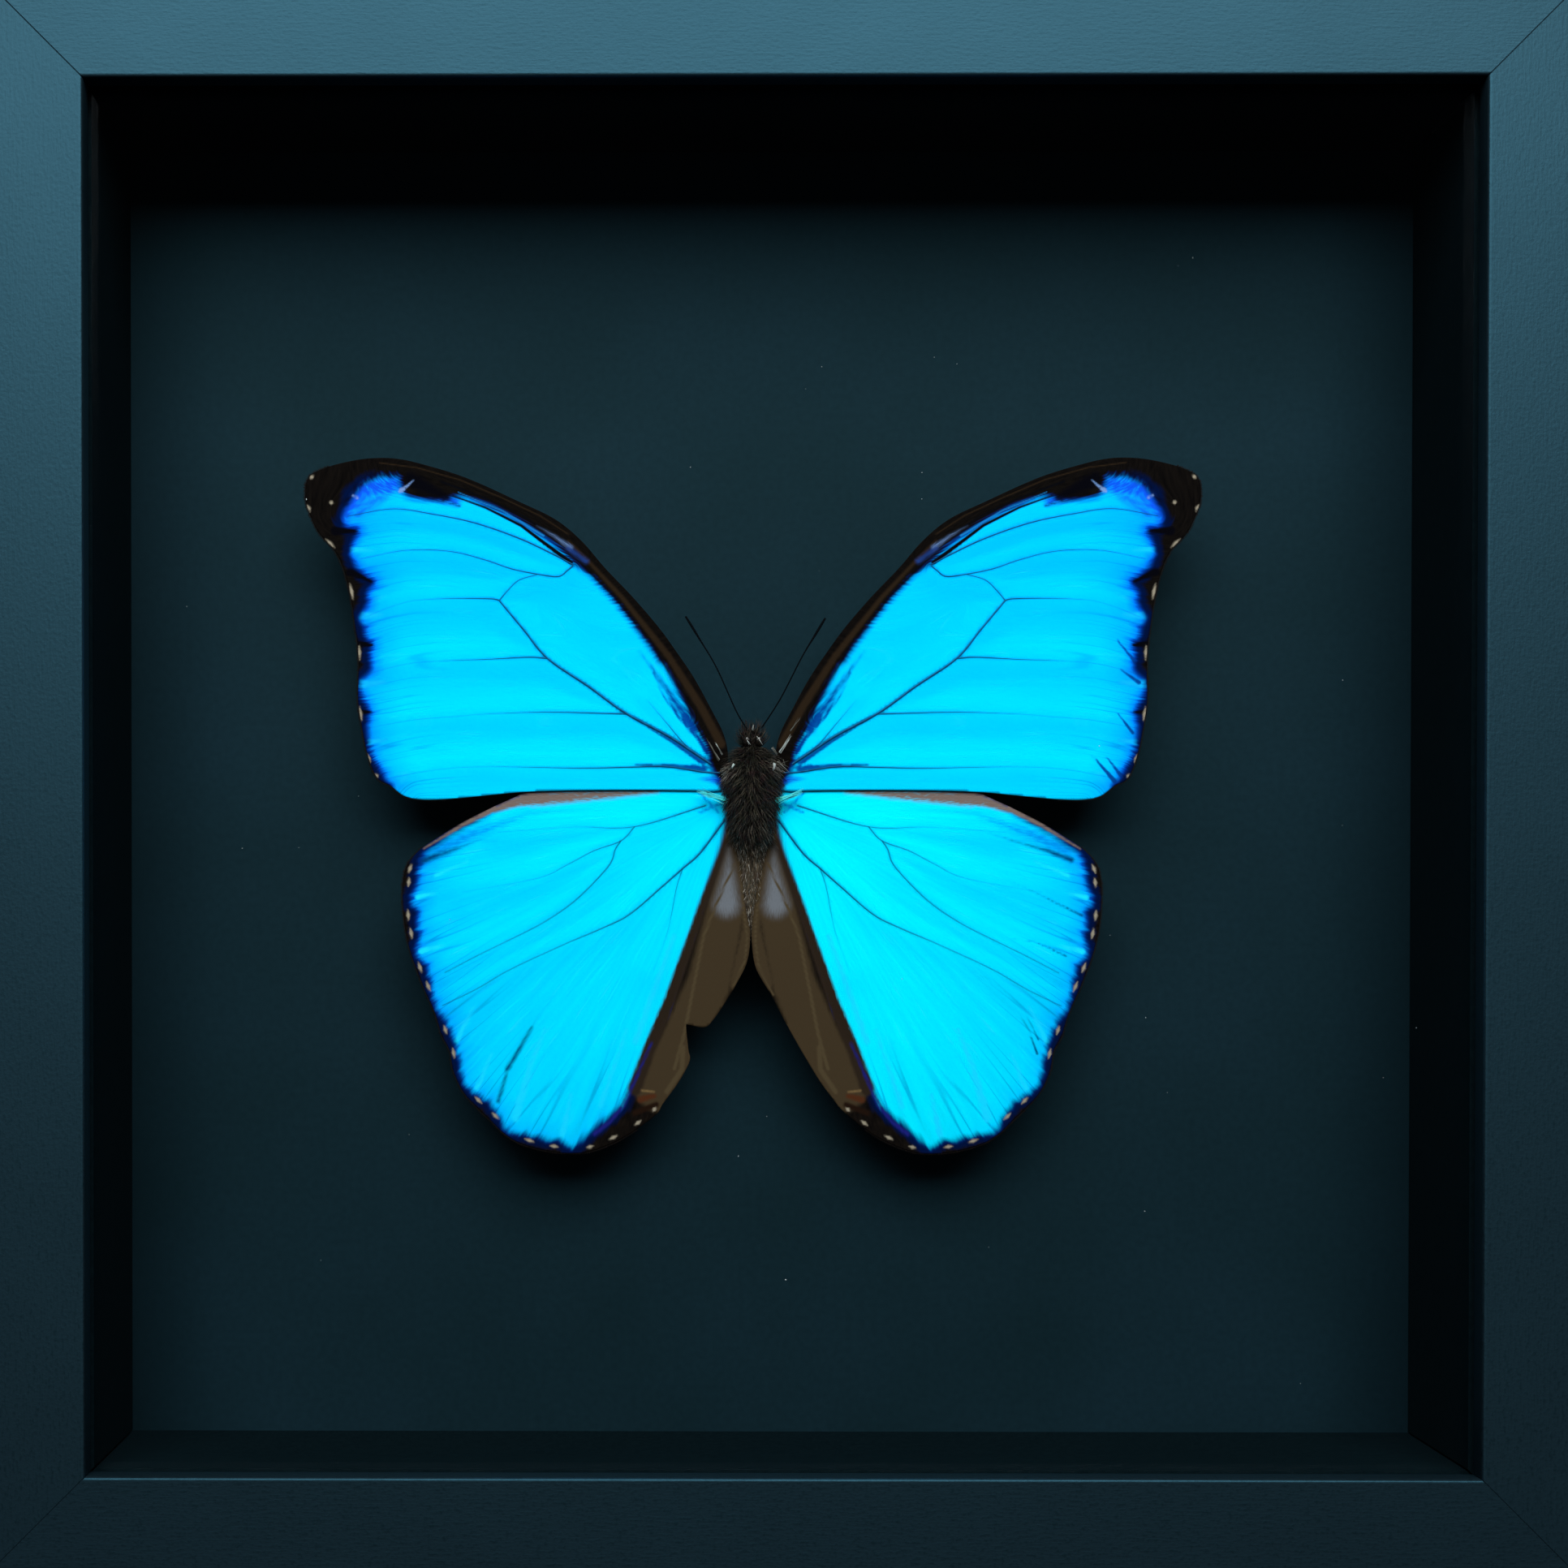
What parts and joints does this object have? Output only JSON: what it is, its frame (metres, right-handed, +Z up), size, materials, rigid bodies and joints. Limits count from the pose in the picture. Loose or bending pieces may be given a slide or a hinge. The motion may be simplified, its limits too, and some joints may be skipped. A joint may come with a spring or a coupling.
{
  "type": "framed butterfly specimen",
  "caption": "Spread blue morpho butterfly raised on a block in front of dark card, in a deep square black box frame with a glazed front, to stand or hang.",
  "frame": {"origin": "on the surface that the frame stands on, under the middle of the box that holds the whole object", "axes": "+X to the right as seen from the front, +Y from the glass towards the back, +Z up"},
  "size_m": [0.254, 0.0482, 0.254],
  "materials": {
    "black_lacquer": "satin black lacquer with a blue-green cast and a fine stipple",
    "black_spacer": "matt black strip",
    "black_card": "matt blue-black card",
    "float_glass": "clear float glass",
    "hardboard": "brown hardboard, smooth side out",
    "zinc_plate": "zinc-plated steel",
    "black_foam": "black closed-cell foam",
    "wing_blue": "iridescent blue wing scales with black-brown borders and cream spots",
    "dark_hair": "dark brown hair over a dry insect body",
    "antenna_brown": "dark brown dry antenna"
  },
  "bodies": {
    "root": {"rail_bottom": "black_lacquer", "rail_left": "black_lacquer", "rail_top": "black_lacquer", "rail_right": "black_lacquer", "glass_pane": "float_glass", "spacer_bottom": "black_spacer", "spacer_left": "black_spacer", "spacer_top": "black_spacer", "spacer_right": "black_spacer", "backing_card": "black_card", "back_board": "hardboard", "tab_bottom_1": "zinc_plate", "tab_bottom_2": "zinc_plate", "tab_left_1": "zinc_plate", "tab_left_2": "zinc_plate", "tab_top_1": "zinc_plate", "tab_top_2": "zinc_plate", "tab_right_1": "zinc_plate", "tab_right_2": "zinc_plate", "sawtooth_hanger": "zinc_plate", "hanger_nail_left": "zinc_plate", "hanger_nail_right": "zinc_plate", "mounting_block": "black_foam", "forewing_left": "wing_blue", "hindwing_left": "wing_blue", "forewing_right": "wing_blue", "hindwing_right": "wing_blue", "body": "dark_hair", "antenna_left": "antenna_brown", "antenna_right": "antenna_brown"}
  },
  "joints": []
}
